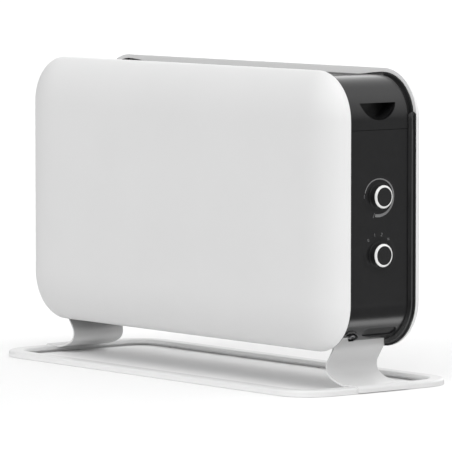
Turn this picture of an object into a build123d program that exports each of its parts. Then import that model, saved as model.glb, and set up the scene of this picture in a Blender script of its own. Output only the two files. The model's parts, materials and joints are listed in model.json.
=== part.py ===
"""Free-standing convector heater: two pillow-shaped steel panels on black end
frames, side covers with two rotary controls, grip recesses, bent blade feet and
a floor ring. Millimetres, +Z up, X is the long axis, the front faces -Y, the
origin is on the floor under the middle of the heater."""
import os
from math import cos, radians, sin

from build123d import *

os.makedirs("parts", exist_ok=True)

# ---------------------------------------------------------------- dimensions
BODY_Z = 256.3          # height of the middle of the body above the floor
PANEL_W = 740.0         # panel width over the rims
PANEL_H = 400.0         # panel height over the rims
CORNER_R = 70.0         # rim corner radius, and the width of the curved border
DISH = 26.0             # how far a panel stands out of its rim plane
RIM_Y = 61.0            # rim plane, each side of the middle
SHEET = 0.8             # steel sheet thickness
FLANGE_TOP = 10.3       # return flange height along the top edge
FLANGE_CORNER = 5.5     # return flange width round the upper corners
FLANGE_SIDE = 32.0      # return flange width down the sides
FLANGE_BOTTOM = 12.0    # return flange height along the bottom edge

SKIN_R = 60.5           # radial position of the black skin from the corner centres
SKIN_T = 2.5            # plastic skin thickness
COVER_Y = 52.5          # half width of a side cover
LEDGE_Y = 53.3          # inner side of the frame's ledge beside the cover
HANDLE_Y = 53.5         # half width of a handle cap
WEB_IN, WEB_OUT = 48.0, 51.0    # web of the end frame
SEAM_Z = BODY_Z + 116.0         # joint between side cover and handle cap
FRAME_TOP_DEG = 9.3             # the frame's outer flange ends this far up the corner

GRIP_R = 35.0           # radius of the half-moon grip recess
GRIP_FLAT_Z = BODY_Z + 154.2    # its straight upper edge
GRIP_DEPTH = 28.0

KNOB_TOP_Z = BODY_Z + 21.5      # thermostat knob
KNOB_LOW_Z = BODY_Z - 61.8      # selector knob
SHAFT_R = 3.0
COVER_END = 66.7        # the side cover ends this far down the lower corner
EDGE_R = 1.0            # rounding of the cover and handle edges
FOOT_FIX = ((-25.0, 58.0), (28.5, 62.0))    # foot screws: Y, and angle round the lower corner
CUP_FLOOR = 55.0        # radial position of the floor of the screw recess

FOOT_W = 94.0
FOOT_T = 2.2
RING_HX, RING_HY = 369.5, 147.5
RING_R = 58.0
RING_W = 23.5
RING_H = 9.0
RING_FIX = 30.0         # ring screws, each side of the middle, at both ends
PAD_PROUD = 0.5
PAD_R = 5.0
UNDERCUT = 6.4          # how far the ring is cut back under its inner edge

CX = PANEL_W / 2 - CORNER_R     # 300, corner centre in X
CZ = PANEL_H / 2 - CORNER_R     # 130, corner centre above and below the middle
Z_LO, Z_HI = BODY_Z - CZ, BODY_Z + CZ


def at(r, deg, low=True):
    """X and Z of the point at radius r and angle deg round a right-hand corner."""
    side = -1 if low else 1
    return CX + r * cos(radians(deg)), (Z_LO if low else Z_HI) + side * r * sin(radians(deg))


def outward(deg):
    return (cos(radians(deg)), 0, -sin(radians(deg)))


def spot(x, y, z, x_dir, z_dir):
    return Plane(origin=(x, y, z), x_dir=x_dir, z_dir=z_dir)


# ---------------------------------------------------------------- front panel
with BuildPart() as front_panel:
    # section of the curved border, drawn in X and Y at the upper right side
    with BuildSketch(Plane.XY.offset(BODY_Z)) as border:
        with BuildLine():
            o = EllipticalCenterArc((CX, -RIM_Y), CORNER_R, DISH, start_angle=270)
            i = EllipticalCenterArc((CX, -RIM_Y), CORNER_R - SHEET, DISH - SHEET, start_angle=270)
            Line(o @ 0, i @ 0)
            Line(o @ 1, i @ 1)
        make_face()
    extrude(amount=CZ)
    with BuildSketch(Plane.XY.offset(Z_HI)) as border_hi:
        add(border.sketch.moved(Location((0, 0, -BODY_Z))))
    revolve(axis=Axis((CX, 0, Z_HI), (0, -1, 0)), revolution_arc=90)
    with BuildSketch(Plane.YZ) as border_top:
        with BuildLine():
            o = EllipticalCenterArc((-RIM_Y, Z_HI), DISH, CORNER_R, start_angle=90)
            i = EllipticalCenterArc((-RIM_Y, Z_HI), DISH - SHEET, CORNER_R - SHEET, start_angle=90)
            Line(o @ 0, i @ 0)
            Line(o @ 1, i @ 1)
        make_face()
    extrude(amount=CX)
    with BuildSketch(Plane.XZ.offset(RIM_Y + DISH - SHEET)):
        with Locations((0, BODY_Z)):
            Rectangle(CX, CZ, align=(Align.MIN, Align.MIN))
    extrude(amount=SHEET)
    mirror(about=Plane.XY.offset(BODY_Z))
    mirror(about=Plane.YZ)
    # return flange in the rim plane
    with BuildSketch(Plane.XZ.offset(RIM_Y)) as flange:
        with Locations((0, BODY_Z)):
            RectangleRounded(PANEL_W - 1.2, PANEL_H - 1.2, CORNER_R - 0.6)
        with BuildLine() as opening:
            zt = BODY_Z + PANEL_H / 2 - FLANGE_TOP
            rc = CORNER_R - FLANGE_CORNER
            rs = CORNER_R - FLANGE_SIDE
            zb = BODY_Z - PANEL_H / 2 + FLANGE_BOTTOM
            ex, ez = at(rc, FRAME_TOP_DEG, low=False)
            l1 = Line((0, zt), (CX - 64, zt))
            l2 = Spline(l1 @ 1, (CX, Z_HI + rc), tangents=[(1, 0), (1, 0)])
            l3 = CenterArc((CX, Z_HI), rc, 90, FRAME_TOP_DEG - 90)
            l4 = Line(l3 @ 1, (CX + rs, ez))
            l5 = Line(l4 @ 1, (CX + rs, Z_LO))
            l6 = CenterArc((CX, Z_LO), rs, 0, -90)
            l7 = Line(l6 @ 1, (CX, zb))
            l8 = Line(l7 @ 1, (0, zb))
            mirror(opening.line, about=Plane.YZ)
        make_face(mode=Mode.SUBTRACT)
    extrude(amount=SHEET)
    # holes for the panel screws
    with BuildSketch(Plane.XZ.offset(RIM_Y)):
        with Locations(*[(s * (CX + 43), BODY_Z + dz) for s in (-1, 1) for dz in (-115, 0, 115)]):
            Circle(1.8)
    extrude(amount=SHEET, mode=Mode.SUBTRACT)
front_panel.part.label = "front_panel"

with BuildPart() as rear_panel:
    add(mirror(front_panel.part, about=Plane.XZ))
rear_panel.part.label = "rear_panel"

# ---------------------------------------------------------------- end frame
with BuildPart() as end_frame_right:
    for base in (Z_LO,):
        with BuildSketch(Plane.XY.offset(base)) as rail:
            with Locations((CX + WEB_IN, 0)):
                Rectangle(WEB_OUT - WEB_IN, 2 * RIM_Y, align=(Align.MIN, Align.CENTER))
            with Locations((CX + 38, RIM_Y - 1.1), (CX + 38, -RIM_Y + 1.1)):
                Rectangle(31.3, 2.2, align=(Align.MIN, Align.CENTER))
            # slanted face beside the cover with a bead along it
            with BuildLine():
                Polyline((CX + WEB_OUT, RIM_Y), (CX + WEB_OUT, 54.5), (CX + 60, 54.5), (CX + 69.3, 60.4),
                         (CX + 69.3, RIM_Y), close=True)
            make_face()
            with Locations((CX + 64.9, 57.6)):
                Circle(0.75)
            mirror(about=Plane.XZ)
    extrude(amount=2 * CZ)
    with BuildSketch(Plane.XY.offset(Z_LO)):
        add(rail.sketch.moved(Location((0, 0, -Z_LO))))
    revolve(axis=Axis((CX, 0, Z_LO), (0, 1, 0)), revolution_arc=86.5)
    # ledge that closes the gap beside the cover
    with BuildSketch(Plane.XY.offset(Z_LO)) as ledge:
        with Locations((CX + WEB_OUT - 0.5, LEDGE_Y), (CX + WEB_OUT - 0.5, -LEDGE_Y - 1.6)):
            Rectangle(59.3 - WEB_OUT + 0.5, 1.6, align=(Align.MIN, Align.MIN))
    extrude(amount=SEAM_Z - 0.3 - Z_LO)
    with BuildSketch(Plane.XY.offset(Z_LO)):
        add(ledge.sketch.moved(Location((0, 0, -Z_LO))))
    revolve(axis=Axis((CX, 0, Z_LO), (0, 1, 0)), revolution_arc=COVER_END)
    with BuildSketch(Plane.XY.offset(Z_HI)):
        add(rail.sketch.moved(Location((0, 0, -Z_LO))))
    revolve(axis=Axis((CX, 0, Z_HI), (0, -1, 0)), revolution_arc=FRAME_TOP_DEG)
    # groove beside the bead, next to the handle
    with BuildSketch(Plane.XY.offset(SEAM_Z)) as groove:
        with BuildLine():
            Polyline((CX + 65.82, 57.48), (CX + 67.62, 58.62), (CX + 66.55, 60.31), (CX + 64.75, 59.17), close=True)
        make_face()
        mirror(about=Plane.XZ)
    extrude(amount=Z_HI - SEAM_Z, mode=Mode.SUBTRACT)
    with BuildSketch(Plane.XY.offset(Z_HI)):
        add(groove.sketch.moved(Location((0, 0, -SEAM_Z))))
    revolve(axis=Axis((CX, 0, Z_HI), (0, -1, 0)), revolution_arc=FRAME_TOP_DEG + 2, mode=Mode.SUBTRACT)
    # sloping shoulders at the top end of the slanted face
    for sy in (1, -1):
        with BuildSketch(Plane(origin=(CX + 60, sy * 54.5, Z_HI + 10.0), x_dir=(0.8447, sy * 0.5359, 0),
                               z_dir=(sy * 0.5359, -0.8447, 0))):
            with BuildLine():
                Polyline((-4, -7.2), (5, 0), (7.8, 0), (14, -5.4), (14, 12), (-4, 12), close=True)
            make_face()
        extrude(amount=9, both=True, mode=Mode.SUBTRACT)
    # narrower rail round the upper corner, under the air slot
    with BuildSketch(Plane.XY.offset(Z_HI)):
        with Locations((CX + WEB_IN, 0)):
            Rectangle(WEB_OUT - WEB_IN, 2 * RIM_Y, align=(Align.MIN, Align.CENTER))
        with Locations((CX + 38, RIM_Y - 1.1), (CX + 38, -RIM_Y + 1.1)):
            Rectangle(25.8, 2.2, align=(Align.MIN, Align.CENTER))
        with Locations((CX + WEB_OUT - 0.5, HANDLE_Y + 0.9), (CX + WEB_OUT - 0.5, -RIM_Y + 0.5)):
            Rectangle(58.6 - WEB_OUT + 0.5, RIM_Y - 0.5 - HANDLE_Y - 0.9, align=(Align.MIN, Align.MIN))
    revolve(axis=Axis((CX, 0, Z_HI), (0, -1, 0)), revolution_arc=90)
    # window for the grip cup
    with BuildSketch(Plane.YZ.offset(CX + 20)):
        with Locations((0, BODY_Z + 146)):
            Rectangle(78, 46)
    extrude(amount=40, mode=Mode.SUBTRACT)
    # shaft holes and control screw holes through the web
    with BuildSketch(Plane.YZ.offset(CX + 40)):
        with Locations((0, KNOB_TOP_Z), (0, KNOB_LOW_Z)):
            Circle(5.2)
        with Locations(*[(sy * 11, z) for sy in (-1, 1) for z in (KNOB_TOP_Z, KNOB_LOW_Z)]):
            Circle(1.6)
        with Locations(*[(sy * 42, BODY_Z + dz) for sy in (-1, 1) for dz in (-112, 92, 121)]):
            Circle(1.9)
    extrude(amount=14, mode=Mode.SUBTRACT)
    # panel screw holes through the flanges
    with BuildSketch(Plane.XZ.offset(RIM_Y)):
        with Locations(*[(CX + 43, BODY_Z + dz) for dz in (-115, 0, 115)]):
            Circle(2.1)
    extrude(amount=-2 * RIM_Y, mode=Mode.SUBTRACT)
    # holes for the foot screws
    for y, deg in FOOT_FIX:
        fx, fz = at(WEB_IN - 4, deg)
        with BuildSketch(spot(fx, y, fz, (0, 1, 0), outward(deg))):
            Circle(2.05)
        extrude(amount=12, mode=Mode.SUBTRACT)
end_frame_right.part.label = "end_frame_right"

with BuildPart() as end_frame_left:
    add(mirror(end_frame_right.part, about=Plane.YZ))
    # cord way through the web
    with BuildSketch(Plane.YZ.offset(-CX - 40)):
        with Locations((30, BODY_Z - 95)):
            Circle(9.6)
    extrude(amount=-14, mode=Mode.SUBTRACT)
end_frame_left.part.label = "end_frame_left"


# ---------------------------------------------------------------- side covers
with BuildPart() as cover_blank:
    with BuildSketch(Plane.XY.offset(Z_LO)) as shell:
        with Locations((CX + SKIN_R, 0)):
            Rectangle(SKIN_T, 2 * COVER_Y, align=(Align.MAX, Align.CENTER))
        with Locations((CX + WEB_OUT, COVER_Y), (CX + WEB_OUT, -COVER_Y + SKIN_T)):
            Rectangle(SKIN_R - WEB_OUT, SKIN_T, align=(Align.MIN, Align.MAX))
        fillet(shell.vertices().group_by(Axis.X)[-1], EDGE_R)
    extrude(amount=SEAM_Z - 0.3 - Z_LO)
    with BuildSketch(Plane.XY.offset(Z_LO)):
        add(shell.sketch.moved(Location((0, 0, -Z_LO))))
    revolve(axis=Axis((CX, 0, Z_LO), (0, 1, 0)), revolution_arc=COVER_END + 4)
    # bosses for the cover screws
    with BuildSketch(Plane.YZ.offset(CX + WEB_OUT)):
        with Locations(*[(sy * 42, BODY_Z + dz) for sy in (-1, 1) for dz in (-112, 92)]):
            Circle(4.5)
    extrude(amount=SKIN_R - SKIN_T - WEB_OUT + 0.5)
    with BuildSketch(Plane.YZ.offset(CX + WEB_OUT)):
        with Locations(*[(sy * 42, BODY_Z + dz) for sy in (-1, 1) for dz in (-112, 92)]):
            Circle(1.55)
    extrude(amount=6.5, mode=Mode.SUBTRACT)
    # cup of the screw recess on the lower corner, and of the long pocket
    tx, tz = at(CUP_FLOOR - 1.5, 58)
    with BuildSketch(spot(tx, -32.75, tz, (0, 1, 0), outward(58))):
        SlotCenterToCenter(12.4, 28.7, rotation=-40)
    extrude(amount=6.6)
    px, pz = at(SKIN_R - 4.8, 46)
    with BuildSketch(spot(px, 15.8, pz, (0, 1, 0), outward(46))):
        SlotOverall(64, 20)
    extrude(amount=4.4)
    # both end flush with the skin
    with BuildSketch(Plane.XY.offset(Z_LO)):
        with Locations((CX + SKIN_R, 0)):
            Rectangle(12, 2 * COVER_Y + 2, align=(Align.MIN, Align.CENTER))
    revolve(axis=Axis((CX, 0, Z_LO), (0, 1, 0)), revolution_arc=90, mode=Mode.SUBTRACT)
    tx, tz = at(CUP_FLOOR, 58)
    with BuildSketch(spot(tx, -32.75, tz, (0, 1, 0), outward(58))):
        SlotCenterToCenter(12.4, 25.5, rotation=-40)
    extrude(amount=16, mode=Mode.SUBTRACT)
    px, pz = at(SKIN_R - 2.0, 46)
    with BuildSketch(spot(px, 15.8, pz, (0, 1, 0), outward(46))):
        SlotOverall(61, 17)
    extrude(amount=12, mode=Mode.SUBTRACT)
    # way for the foot screw through the floor of the cup
    with BuildSketch(spot(tx, FOOT_FIX[0][0], tz, (0, 1, 0), outward(58))):
        Circle(2.3)
    extrude(amount=4, both=True, mode=Mode.SUBTRACT)
    # lower end
    with BuildSketch(Plane.XZ.offset(COVER_Y + 1)):
        with BuildLine():
            Polyline((CX, Z_LO), at(90, COVER_END), at(90, 100), close=True)
        make_face()
    extrude(amount=-2 * COVER_Y - 2, mode=Mode.SUBTRACT)

with BuildPart() as side_cover_right:
    add(cover_blank.part)
    # thicker seats behind the two control dishes
    with BuildSketch(Plane.YZ.offset(CX + SKIN_R - SKIN_T - 1.8)):
        with Locations((0, KNOB_TOP_Z), (0, KNOB_LOW_Z)):
            Circle(30)
    extrude(amount=2.2)
    for z in (KNOB_TOP_Z, KNOB_LOW_Z):
        with BuildSketch(spot(CX + SKIN_R, 0, z, (0, 1, 0), (0, 0, -1))):
            with BuildLine():
                Polyline((0, 1), (29.6, 1), (29.6, 0), (26.6, -0.15), (8.6, -0.15), (8.6, -6), (0, -6), close=True)
            make_face()
        revolve(axis=Axis((CX + SKIN_R, 0, z), (1, 0, 0)), mode=Mode.SUBTRACT)
side_cover_right.part.label = "side_cover_right"

with BuildPart() as side_cover_left:
    add(mirror(cover_blank.part, about=Plane.YZ))
    with BuildSketch(Plane.YZ.offset(-CX - 50)):
        with Locations((30, BODY_Z - 95)):
            Circle(8.05)
    extrude(amount=-14, mode=Mode.SUBTRACT)
side_cover_left.part.label = "side_cover_left"

# ---------------------------------------------------------------- handle caps
with BuildPart() as handle_right:
    with BuildSketch(Plane.XY.offset(SEAM_Z + 0.3)) as cap:
        with Locations((CX + SKIN_R, 0)):
            Rectangle(SKIN_T, 2 * HANDLE_Y, align=(Align.MAX, Align.CENTER))
        with Locations((CX + WEB_OUT, HANDLE_Y), (CX + WEB_OUT, -HANDLE_Y + SKIN_T)):
            Rectangle(SKIN_R - WEB_OUT, SKIN_T, align=(Align.MIN, Align.MAX))
        fillet(cap.vertices().group_by(Axis.X)[-1], EDGE_R)
    extrude(amount=Z_HI - SEAM_Z - 0.3)
    with BuildSketch(Plane.XY.offset(Z_HI)):
        add(cap.sketch.moved(Location((0, 0, -SEAM_Z - 0.3))))
    revolve(axis=Axis((CX, 0, Z_HI), (0, -1, 0)), revolution_arc=90)
    with BuildSketch(Plane.YZ.offset(CX)) as brow:
        with Locations((0, Z_HI + SKIN_R)):
            Rectangle(2 * HANDLE_Y, SKIN_T, align=(Align.CENTER, Align.MAX))
        with Locations((HANDLE_Y, Z_HI + WEB_OUT), (-HANDLE_Y + SKIN_T, Z_HI + WEB_OUT)):
            Rectangle(SKIN_T, SKIN_R - WEB_OUT, align=(Align.MAX, Align.MIN))
        fillet(brow.vertices().group_by(Axis.Y)[-1], EDGE_R)
    extrude(amount=-2)
    # screw bosses
    with BuildSketch(Plane.YZ.offset(CX + WEB_OUT)):
        with Locations((42, BODY_Z + 121), (-42, BODY_Z + 121)):
            Circle(4.2)
    extrude(amount=SKIN_R - SKIN_T - WEB_OUT + 0.5)
    with BuildSketch(Plane.YZ.offset(CX + WEB_OUT)):
        with Locations((42, BODY_Z + 121), (-42, BODY_Z + 121)):
            Circle(1.55)
    extrude(amount=6.5, mode=Mode.SUBTRACT)
    # outer wall of the grip cup
    with BuildSketch(Plane.YZ.offset(CX + SKIN_R - GRIP_DEPTH - 4)) as cup_out:
        with Locations((0, GRIP_FLAT_Z + 10.5)):
            Circle(GRIP_R + 2)
        with Locations((0, GRIP_FLAT_Z + 2)):
            Rectangle(90, 60, align=(Align.CENTER, Align.MIN), mode=Mode.SUBTRACT)
    extrude(amount=GRIP_DEPTH - 2)
    # finger lip behind the straight edge
    with BuildSketch(Plane.YZ.offset(CX + SKIN_R - GRIP_DEPTH - 4)):
        with Locations((0, GRIP_FLAT_Z)):
            Rectangle(56, 10, align=(Align.CENTER, Align.MIN))
    extrude(amount=16)
    with BuildSketch(Plane.YZ.offset(CX + SKIN_R - GRIP_DEPTH - 2)):
        with Locations((0, GRIP_FLAT_Z + 10.5)):
            Circle(GRIP_R)
        with Locations((0, GRIP_FLAT_Z)):
            Rectangle(90, 60, align=(Align.CENTER, Align.MIN), mode=Mode.SUBTRACT)
    extrude(amount=40, mode=Mode.SUBTRACT)
    with BuildSketch(Plane.YZ.offset(CX + SKIN_R - GRIP_DEPTH - 2)):
        with Locations((0, GRIP_FLAT_Z - 1)):
            Rectangle(52, 9, align=(Align.CENTER, Align.MIN))
    extrude(amount=12, mode=Mode.SUBTRACT)
handle_right.part.label = "handle_right"

with BuildPart() as handle_left:
    add(mirror(handle_right.part, about=Plane.YZ))
handle_left.part.label = "handle_left"

# ---------------------------------------------------------------- grilles
GRILLE_TOP = Z_HI + SKIN_R
with BuildPart() as top_grille:
    with BuildSketch(Plane.XY.offset(GRILLE_TOP - 2.4)):
        Rectangle(2 * (CX - 2.6), 2 * HANDLE_Y)
    extrude(amount=2.4)
    fillet(top_grille.edges().filter_by(Axis.X).group_by(Axis.Z)[-1], 1.2)
    with BuildSketch(Plane.XY.offset(GRILLE_TOP - 12)):
        with Locations((0, HANDLE_Y - 0.8), (0, -HANDLE_Y + 0.8)):
            Rectangle(2 * (CX - 2.6), 1.6)
    extrude(amount=10)
    with BuildSketch(Plane.XY.offset(GRILLE_TOP - 3)):
        with GridLocations(8.0, 46, 72, 2):
            SlotOverall(38, 4.2, rotation=90)
    extrude(amount=4, mode=Mode.SUBTRACT)
top_grille.part.label = "top_grille"

GRILLE_LOW = Z_LO - SKIN_R + 1.0
with BuildPart() as bottom_grille:
    with BuildSketch(Plane.XY.offset(GRILLE_LOW)):
        Rectangle(2 * (CX + 11.5), 2 * HANDLE_Y)
    extrude(amount=2.0)
    with BuildSketch(Plane.XY.offset(GRILLE_LOW - 1)):
        with GridLocations(9.0, 34, 64, 3):
            SlotOverall(28, 5, rotation=90)
    extrude(amount=4, mode=Mode.SUBTRACT)
bottom_grille.part.label = "bottom_grille"
INNER_LOW = GRILLE_LOW + 2.0
INNER_TOP = GRILLE_TOP - 2.4

# ---------------------------------------------------------------- knobs
# radial sections are drawn in (radius, X) and turned about the shaft axis
def knob_body(z):
    with BuildPart() as knob:
        with BuildSketch(spot(CX + SKIN_R, 0, z, (0, 1, 0), (0, 0, -1))):
            with BuildLine():
                Polyline((0, 3.2), (0, 11.3), (13.2, 11.3), (13.2, 10.9), (13.5, 10.9), (13.5, 8.9),
                         (16.5, 8.9), (16.8, 8.6), (17.5, 1.5), (19.4, 1.4), (19.6, 1.2), (19.6, 0.15),
                         (15.4, 0.15), (15.4, 6.2), (6.4, 6.2), (6.4, -6.5), (SHAFT_R + 0.02, -6.5),
                         (SHAFT_R + 0.02, 3.2), close=True)
            make_face()
        revolve(axis=Axis((CX + SKIN_R, 0, z), (1, 0, 0)))
    return knob.part


def knob_trim(z):
    with BuildPart() as trim:
        with BuildSketch(spot(CX + SKIN_R, 0, z, (0, 1, 0), (0, 0, -1))):
            with BuildLine():
                Polyline((13.5, 8.9), (13.5, 11.3), (13.8, 11.6), (14.4, 11.4), (16.2, 10.0), (16.5, 9.5),
                         (16.5, 8.9), close=True)
            make_face()
        revolve(axis=Axis((CX + SKIN_R, 0, z), (1, 0, 0)))
    return trim.part


def shaft(z):
    with BuildPart() as stem:
        with BuildSketch(Plane.YZ.offset(CX + 26)):
            with Locations((0, z)):
                Circle(SHAFT_R)
        extrude(amount=SKIN_R - 26 + 3.0)
        with BuildSketch(Plane.YZ.offset(CX + 26)):
            with Locations((0, z)):
                Circle(5.5)
        extrude(amount=2.5)
    return stem.part


with BuildPart() as thermostat_knob:
    add(knob_body(KNOB_TOP_Z))
thermostat_knob.part.label = "thermostat_knob"
with BuildPart() as selector_knob:
    add(knob_body(KNOB_LOW_Z))
selector_knob.part.label = "selector_knob"
with BuildPart() as thermostat_knob_ring:
    add(knob_trim(KNOB_TOP_Z))
thermostat_knob_ring.part.label = "thermostat_knob_ring"
with BuildPart() as selector_knob_ring:
    add(knob_trim(KNOB_LOW_Z))
selector_knob_ring.part.label = "selector_knob_ring"
with BuildPart() as thermostat_shaft:
    add(shaft(KNOB_TOP_Z))
thermostat_shaft.part.label = "thermostat_shaft"
with BuildPart() as selector_shaft:
    add(shaft(KNOB_LOW_Z))
selector_shaft.part.label = "selector_shaft"


# ---------------------------------------------------------------- controls
def control_box(z, wy, wz, depth):
    """Switch body behind the web, with a threaded neck round the shaft."""
    with BuildPart() as box:
        with BuildSketch(Plane.YZ.offset(CX + WEB_IN)):
            with Locations((0, z)):
                Rectangle(wy, wz)
        extrude(amount=-depth)
        fillet(box.edges().filter_by(Axis.X), 2)
        with BuildSketch(Plane.YZ.offset(CX + WEB_IN)):
            with Locations((0, z)):
                Circle(5.0)
        extrude(amount=3.2)
        # bore for the shaft and the room of its collar
        with BuildSketch(Plane.YZ.offset(CX + 20)):
            with Locations((0, z)):
                Circle(SHAFT_R + 0.05)
        extrude(amount=40, mode=Mode.SUBTRACT)
        with BuildSketch(Plane.YZ.offset(CX + 25.6)):
            with Locations((0, z)):
                Circle(6.0)
        extrude(amount=3.3, mode=Mode.SUBTRACT)
        # threads for the control screws
        with BuildSketch(Plane.YZ.offset(CX + WEB_IN)):
            with Locations((11, z), (-11, z)):
                Circle(1.5)
        extrude(amount=-7, mode=Mode.SUBTRACT)
    return box.part


with BuildPart() as thermostat_body:
    add(control_box(KNOB_TOP_Z, 36, 30, 26))
    with BuildSketch(Plane.YZ.offset(CX + WEB_IN - 26)):
        with Locations((-10, KNOB_TOP_Z), (10, KNOB_TOP_Z)):
            Rectangle(0.9, 6.3)
    extrude(amount=-9)
thermostat_body.part.label = "thermostat_body"
with BuildPart() as selector_switch:
    add(control_box(KNOB_LOW_Z, 32, 32, 24))
    with BuildSketch(Plane.YZ.offset(CX + WEB_IN - 24)):
        with Locations((-9, KNOB_LOW_Z - 8), (9, KNOB_LOW_Z - 8), (-9, KNOB_LOW_Z + 8), (9, KNOB_LOW_Z + 8)):
            Rectangle(0.9, 6.3)
    extrude(amount=-9)
selector_switch.part.label = "selector_switch"


def pan_screw(plane, head_r, head_h, r, length, drive=True):
    """Pan-head screw: the head stands on the plane, the shank goes behind it."""
    with BuildPart() as screw:
        with BuildSketch(plane):
            Circle(head_r)
        extrude(amount=head_h)
        fillet(screw.edges().filter_by(GeomType.CIRCLE).sort_by(
            lambda e: -(e.center() - plane.origin).dot(plane.z_dir))[0], head_h * 0.45)
        with BuildSketch(plane):
            Circle(r)
        extrude(amount=-length)
        if drive:
            with BuildSketch(plane.offset(head_h)):
                Rectangle(head_r * 1.1, head_r * 0.26)
                Rectangle(head_r * 0.26, head_r * 1.1)
            extrude(amount=-head_h * 0.5, mode=Mode.SUBTRACT)
    return screw.part


with BuildPart() as control_screws:
    for z in (KNOB_TOP_Z, KNOB_LOW_Z):
        for sy in (-1, 1):
            add(pan_screw(spot(CX + WEB_OUT, sy * 11, z, (0, 1, 0), (1, 0, 0)), 2.8, 2.0, 1.45, 9.5))
control_screws.part.label = "control_screws"

with BuildPart() as cover_screws:
    for sy in (-1, 1):
        for dz in (-112, 92, 121):
            add(pan_screw(spot(CX + WEB_IN, sy * 42, BODY_Z + dz, (0, 1, 0), (-1, 0, 0)), 3.2, 2.2, 1.5, 9.0))
            add(pan_screw(spot(-CX - WEB_IN, sy * 42, BODY_Z + dz, (0, 1, 0), (1, 0, 0)), 3.2, 2.2, 1.5, 9.0))
cover_screws.part.label = "cover_screws"

with BuildPart() as panel_screws:
    for sx in (-1, 1):
        for sy in (-1, 1):
            for dz in (-115, 0, 115):
                add(pan_screw(spot(sx * (CX + 43), sy * (RIM_Y - 2.2), BODY_Z + dz, (1, 0, 0), (0, -sy, 0)),
                              3.4, 2.2, 1.75, 6.5))
panel_screws.part.label = "panel_screws"

# ---------------------------------------------------------------- feet
def walk(x, z, heading, moves):
    """Follows straight runs (length, 0) and bends (turn in degrees, radius) along
    a strip; gives each move's start, heading and bend centre, and the end point."""
    out = []
    for size, r in moves:
        if r:
            s = 1 if size > 0 else -1
            cx, cz = x - s * r * sin(radians(heading)), z + s * r * cos(radians(heading))
            out.append((x, z, heading, size, r, cx, cz))
            heading += size
            x, z = cx + s * r * sin(radians(heading)), cz - s * r * cos(radians(heading))
        else:
            out.append((x, z, heading, size, 0, 0, 0))
            x, z = x + size * cos(radians(heading)), z + size * sin(radians(heading))
    return out, x, z


TAB_TOP, TAB_END, BEND = -40.0, -66.4, 8.0
RING_TOP = PAD_PROUD + RING_H
tab_x, tab_z = CX + (WEB_OUT + FOOT_T) * cos(radians(TAB_TOP)), Z_LO + (WEB_OUT + FOOT_T) * sin(radians(TAB_TOP))
tail = [(-35, 16.0), (17.4, 0), (97, 14.0), (21, 87.0), (26, 12.5), (-19, 12.5)]
head = [(TAB_END - TAB_TOP, WEB_OUT + FOOT_T), (-TAB_END, BEND)]
# the drop and the deck are as long as the ring's height and width ask for
_, hook_x, deck_z = walk(tab_x, tab_z, TAB_TOP - 90, head + tail)
drop = deck_z - (RING_TOP + FOOT_T)
HOOK_R = 6.1
deck = RING_HX + 0.4 + FOOT_T - HOOK_R - hook_x
foot_moves = head + [(drop, 0)] + tail + [(deck, 0), (-90, HOOK_R), (4.1, 0)]

with BuildPart() as foot_right:
    with BuildSketch(Plane.XZ.offset(FOOT_W / 2)) as blade:
        with BuildLine() as outline:
            steps, end_x, end_z = walk(tab_x, tab_z, TAB_TOP - 90, foot_moves)
            for x, z, heading, size, r, cx, cz in steps:
                if r:
                    side = 90 if size > 0 else -90
                    CenterArc((cx, cz), r, heading - side, size)
                    CenterArc((cx, cz), r + FOOT_T * (1 if size > 0 else -1), heading - side, size)
                else:
                    nx, nz = FOOT_T * sin(radians(heading)), -FOOT_T * cos(radians(heading))
                    dx, dz = size * cos(radians(heading)), size * sin(radians(heading))
                    Line((x, z), (x + dx, z + dz))
                    Line((x + nx, z + nz), (x + nx + dx, z + nz + dz))
            Line((end_x, end_z), (end_x - FOOT_T, end_z))
            t_in = WEB_OUT
            Line((tab_x, tab_z), (CX + t_in * cos(radians(TAB_TOP)), Z_LO + t_in * sin(radians(TAB_TOP))))
        make_face()
    extrude(amount=-FOOT_W)
    # screw holes in the tab, square to the corner
    for y, deg in FOOT_FIX:
        fx, fz = at(WEB_OUT - 3, deg)
        with BuildSketch(spot(fx, y, fz, (0, 1, 0), outward(deg))):
            Circle(2.3)
        extrude(amount=9, mode=Mode.SUBTRACT)
    # threads for the ring screws, closed above
    with BuildSketch(Plane.XY.offset(RING_TOP - 1)):
        with Locations(*[(RING_HX - RING_W / 2, y) for y in (-RING_FIX, RING_FIX)]):
            Circle(2.0)
    extrude(amount=2.7, mode=Mode.SUBTRACT)
    # short slot low in the neck
    with BuildSketch(Plane.YZ.offset(310)):
        with Locations((-14.5, BODY_Z - 184.9)):
            SlotOverall(12.0, 5.6)
    extrude(amount=9, mode=Mode.SUBTRACT)
    fillet(foot_right.edges().filter_by(GeomType.LINE).filter_by(
        lambda e: abs(e.length - FOOT_T) < 0.01 and e.center().Z < BODY_Z - 250), 2.0)
foot_right.part.label = "foot_right"

with BuildPart() as foot_left:
    add(mirror(foot_right.part, about=Plane.YZ))
foot_left.part.label = "foot_left"

with BuildPart() as foot_screws:
    # one broad head in the recess of the cover, one flat head under the skin
    for (y, deg), seat, head_r, head_h in zip(FOOT_FIX, (CUP_FLOOR, WEB_OUT + FOOT_T), (5.6, 4.2), (4.6, 2.6)):
        hx, hz = at(seat, deg)
        ox, _, oz = outward(deg)
        for sx in (1, -1):
            face = spot(sx * hx, y, hz, (0, 1, 0), (sx * ox, 0, oz))
            add(pan_screw(face, head_r, head_h, 1.95, seat - 41.5))
            if seat == CUP_FLOOR:
                with BuildSketch(face):
                    Circle(7.4)
                extrude(amount=1.6)
foot_screws.part.label = "foot_screws"

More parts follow.
